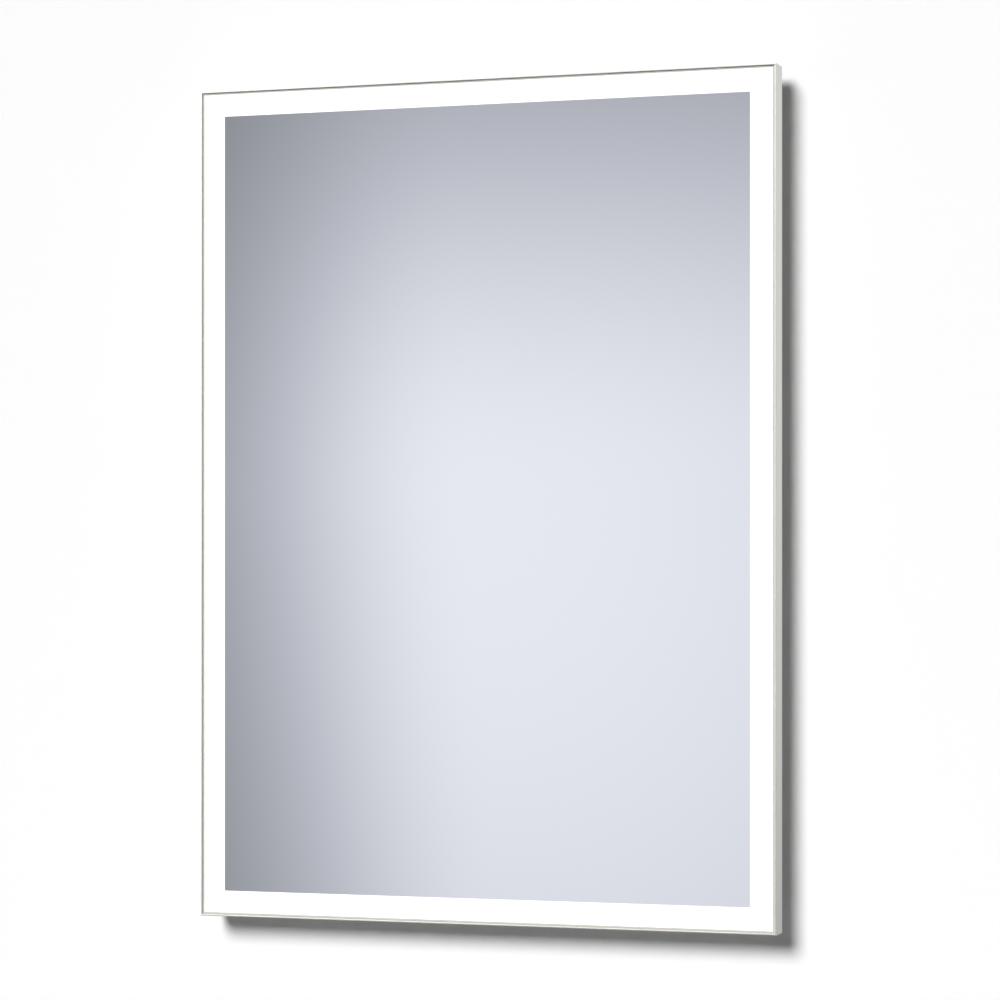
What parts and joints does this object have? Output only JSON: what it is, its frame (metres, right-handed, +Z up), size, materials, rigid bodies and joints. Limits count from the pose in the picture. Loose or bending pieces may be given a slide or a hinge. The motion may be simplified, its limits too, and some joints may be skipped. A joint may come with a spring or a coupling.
{
  "type": "lighted bathroom mirror",
  "caption": "Portrait wall mirror in a slim mitred aluminium frame, with a lit frosted band round the silvered centre, hung by hooks on a wall rail.",
  "frame": {"origin": "on the wall plane, midway between the two screw slots of the wall rail", "axes": "+X across to the right seen from the front, +Y into the wall, +Z up; the glass faces -Y"},
  "size_m": [0.5, 0.04, 0.7],
  "materials": {
    "mirror_glass": "4 mm silvered float glass, frosted border lit from behind",
    "safety_film": "grey shatter-proof film",
    "heating_film": "printed heating film",
    "silicone_grey": "smooth warm grey silicone",
    "satin_aluminium": "satin anodised, fine extrusion grain",
    "zinc_steel": "zinc plated",
    "black_steel": "black oxide",
    "bright_screws": "bright zinc",
    "opal_acrylic": "opal, lit",
    "led_board_white": "white solder mask",
    "led_phosphor": "phosphor over the emitter, lit",
    "reflector_white": "white reflective sheet",
    "white_powder_steel": "fine-texture powder coat",
    "bumper_rubber": "matt black",
    "driver_plastic": "light moulded plastic",
    "circuit_board": "green solder mask",
    "transformer_tape": "yellow tape over ferrite",
    "terminal_plastic": "white moulded",
    "brass": "plain",
    "gland_plastic": "black nylon",
    "sensor_plastic": "white moulded",
    "sensor_window": "dark infrared window",
    "lead_white": "white insulation",
    "core_brown": "brown insulation",
    "core_blue": "blue insulation",
    "core_green": "green and yellow insulation"
  },
  "bodies": {
    "wall_bracket": {"wall_rail": "zinc_steel"},
    "mirror": {"back_panel": "white_powder_steel", "corner_key_screws": "black_steel", "corner_keys": "zinc_steel", "demister_lead": "lead_white", "demister_pad": "heating_film", "diffuser_bottom": "opal_acrylic", "diffuser_left": "opal_acrylic", "diffuser_right": "opal_acrylic", "diffuser_top": "opal_acrylic", "driver_board": "circuit_board", "driver_box": "white_powder_steel", "driver_box_screws": "bright_screws", "driver_case": "driver_plastic", "driver_lid": "driver_plastic", "driver_transformer": "transformer_tape", "earth_core": "core_green", "earth_nut": "bright_screws", "earth_stud": "bright_screws", "frame_bottom": "satin_aluminium", "frame_left": "satin_aluminium", "frame_right": "satin_aluminium", "frame_top": "satin_aluminium", "gasket_bottom": "silicone_grey", "gasket_left": "silicone_grey", "gasket_right": "silicone_grey", "gasket_top": "silicone_grey", "gland_body": "gland_plastic", "gland_cap": "gland_plastic", "gland_nut": "gland_plastic", "gland_seal": "bumper_rubber", "hang_bracket_left": "zinc_steel", "hang_bracket_right": "zinc_steel", "hang_rivets": "bright_screws", "lead_clips": "sensor_plastic", "led_board_bottom": "led_board_white", "led_board_left": "led_board_white", "led_board_right": "led_board_white", "led_board_top": "led_board_white", "led_chips": "led_phosphor", "led_corner_links": "lead_white", "led_lead": "lead_white", "live_core": "core_brown", "mirror_glass": "mirror_glass", "neutral_core": "core_blue", "panel_grommet": "bumper_rubber", "panel_screws": "bright_screws", "reflector_bottom": "reflector_white", "reflector_left": "reflector_white", "reflector_right": "reflector_white", "reflector_top": "reflector_white", "safety_film": "safety_film", "sensor_board": "circuit_board", "sensor_housing": "sensor_plastic", "sensor_lead": "lead_white", "sensor_lens": "sensor_window", "terminal_block": "terminal_plastic", "terminal_screws": "brass", "wall_spacers": "bumper_rubber"}
  },
  "joints": [
    {"name": "lift_off", "type": "slide", "parent": "wall_bracket", "child": "mirror", "axis": [0, 0, 1], "range_m": [0, 0.014]}
  ]
}
